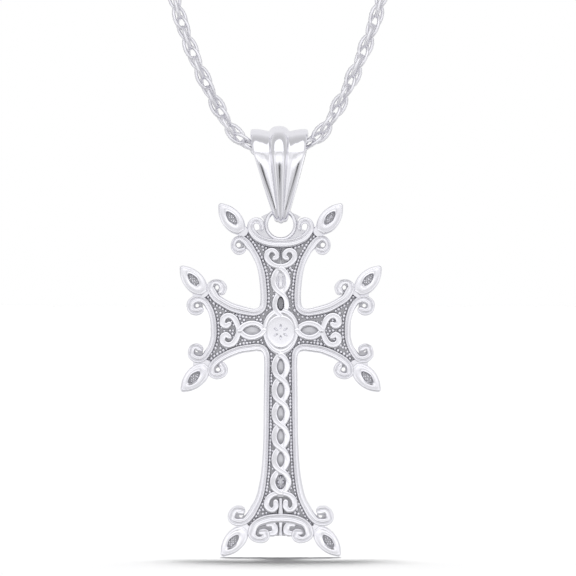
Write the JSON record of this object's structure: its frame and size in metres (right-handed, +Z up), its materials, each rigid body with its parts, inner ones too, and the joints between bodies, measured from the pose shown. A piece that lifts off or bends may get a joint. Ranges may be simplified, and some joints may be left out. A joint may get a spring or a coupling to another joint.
{
  "type": "necklace with a pierced cross pendant on a folded bail and a fine rope chain",
  "caption": "Cast openwork cross with leaf finials, scrolled rims and a sunk ground, hung by its eye from a fluted folded bail on a fine rope chain.",
  "frame": {"origin": "middle of the clasp at the nape, where the worn necklace hangs on a neck", "axes": "+Z up, the cross's front faces -Y, the loop lies in front of the origin and is the same on both sides of X"},
  "size_m": [0.102, 0.1235, 0.2087],
  "materials": {
    "chain_metal": "polished silver",
    "bail_metal": "mirror-polished silver",
    "cross_metal": "cast silver, polished rims, matt sunk ground"
  },
  "bodies": {
    "necklace": {"chain": "chain_metal", "clasp": "chain_metal"},
    "bail": {"bail": "bail_metal"},
    "cross": {"cross": "cross_metal"}
  },
  "joints": [
    {"name": "bail_swing", "type": "hinge", "parent": "necklace", "child": "bail", "pos_m": [0, -0.12, -0.165], "axis": [1, 0, 0], "range_deg": [-75, 75]},
    {"name": "cross_swing", "type": "hinge", "parent": "bail", "child": "cross", "pos_m": [0, -0.12, -0.17072], "axis": [1, 0, 0], "range_deg": [-60, 60]}
  ]
}
